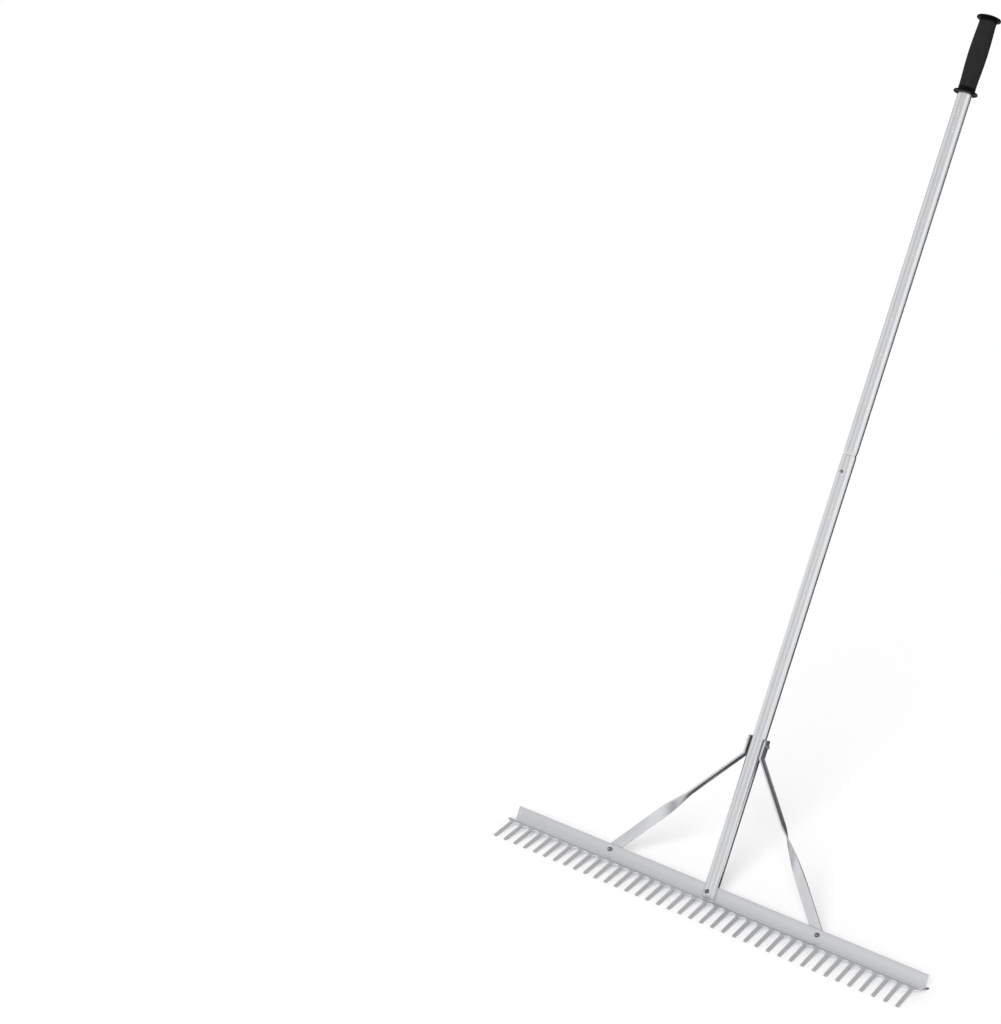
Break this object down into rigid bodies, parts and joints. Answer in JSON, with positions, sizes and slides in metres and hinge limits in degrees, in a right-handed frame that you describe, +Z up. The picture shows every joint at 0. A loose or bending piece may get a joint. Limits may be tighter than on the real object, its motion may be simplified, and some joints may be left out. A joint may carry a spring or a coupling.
{
  "type": "landscape_rake",
  "caption": "Wide landscape rake: T-section head with a row of bent tines and a levelling blade, twisted braces, a long bolted tube handle and a collared grip.",
  "frame": {"origin": "Centre of the bounding box, on the floor that the blade edge and the tine tips rest on.", "axes": "+X along the head to the right as seen from its tined front, +Y to the back, where the handle leans, +Z up."},
  "size_m": [0.9144, 0.679, 1.721],
  "materials": {
    "aluminium": "satin",
    "tube": "satin anodised, fine lengthwise grain",
    "steel": "zinc plated",
    "nylon": "matt",
    "grip": "satin"
  },
  "bodies": {
    "root": {"rake_head": "aluminium", "brace_left": "aluminium", "brace_right": "aluminium", "tab_spacer_left": "aluminium", "tab_spacer_right": "aluminium", "handle_lower_tube": "tube", "handle_upper_tube": "tube", "grip": "grip", "tab_bolt": "steel", "tab_lock_nut": "steel", "tab_nut_insert": "nylon", "head_bolt": "steel", "head_lock_nut": "steel", "head_nut_insert": "nylon", "brace_bolt_left": "steel", "brace_lock_nut_left": "steel", "brace_nut_insert_left": "nylon", "brace_bolt_right": "steel", "brace_lock_nut_right": "steel", "brace_nut_insert_right": "nylon", "joint_bolt": "steel", "joint_lock_nut": "steel", "joint_nut_insert": "nylon"}
  },
  "joints": []
}
